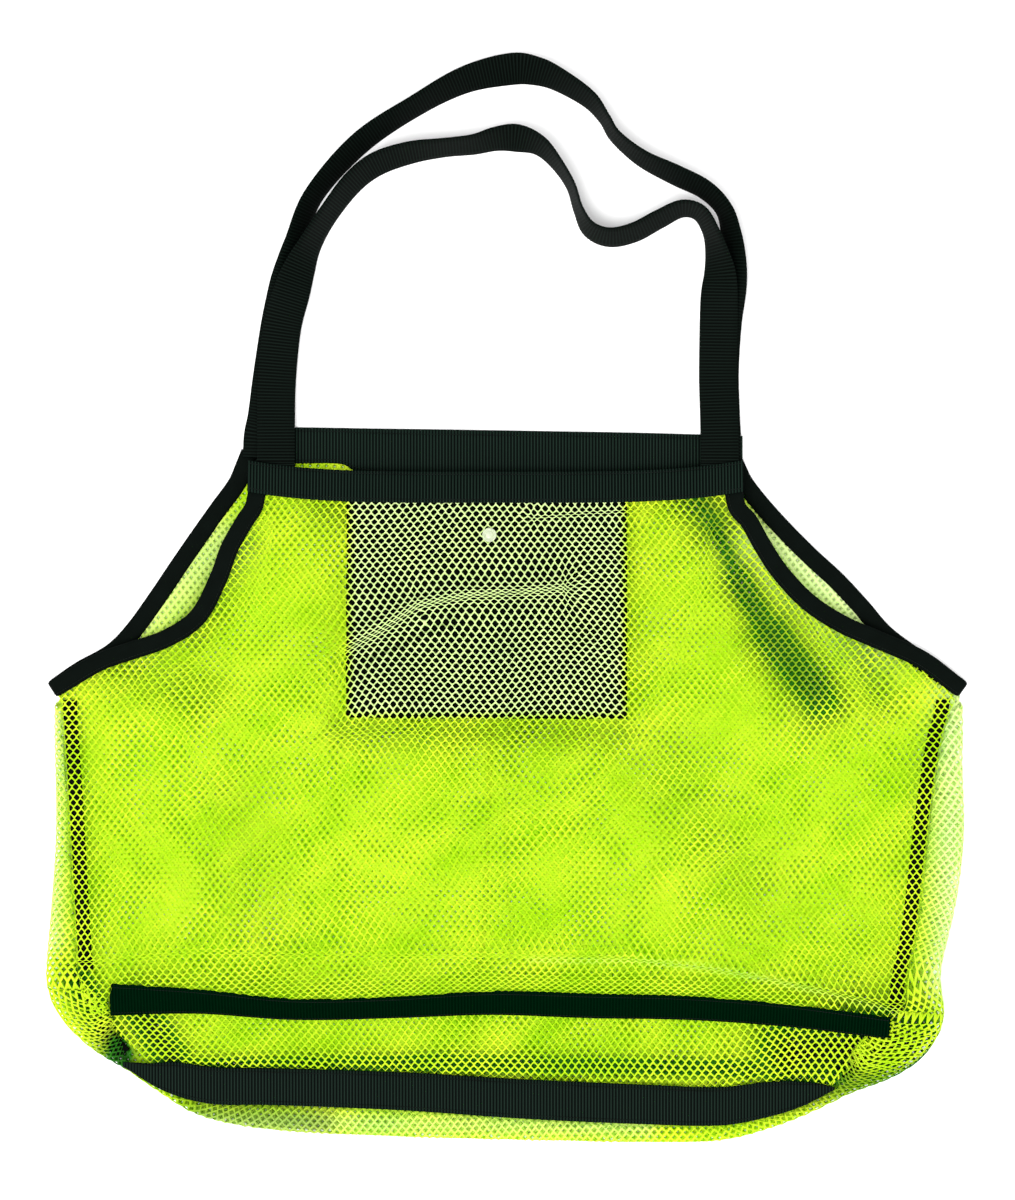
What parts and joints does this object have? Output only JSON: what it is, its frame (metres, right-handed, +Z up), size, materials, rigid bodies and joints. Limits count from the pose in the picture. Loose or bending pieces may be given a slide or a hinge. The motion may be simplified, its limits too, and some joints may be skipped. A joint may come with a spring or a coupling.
{
  "type": "knitted net beach tote bag",
  "caption": "Soft lime-green knitted-net beach tote lying flat on its back, with black webbing handles, bindings and base tapes, an inside pocket and a press stud.",
  "frame": {"origin": "centre of the bounding box, on the ground that the bag lies on", "axes": "+X across the bag to the viewer's right, +Y from the bottom fold to the handles, +Z up from the ground, out of the front net"},
  "size_m": [0.4852, 0.5727, 0.0506],
  "materials": {
    "net_green": "open knitted polyester net, satin thread",
    "webbing_black": "ribbed polyester webbing and grosgrain, matte",
    "pocket_black": "plain tight-woven nylon, matte",
    "snap_clear": "clear moulded acetal, gloss"
  },
  "bodies": {
    "root": {"front_panel": "net_green", "back_panel": "net_green", "base_panel": "net_green", "front_top_band": "webbing_black", "back_top_band": "webbing_black", "left_binding": "webbing_black", "right_binding": "webbing_black", "left_side_tape": "webbing_black", "right_side_tape": "webbing_black", "front_base_webbing": "webbing_black", "back_base_webbing": "webbing_black", "left_base_tape": "webbing_black", "right_base_tape": "webbing_black", "front_handle": "webbing_black", "back_handle": "webbing_black", "pocket": "pocket_black", "snap_cap": "snap_clear", "snap_socket": "snap_clear"}
  },
  "joints": []
}
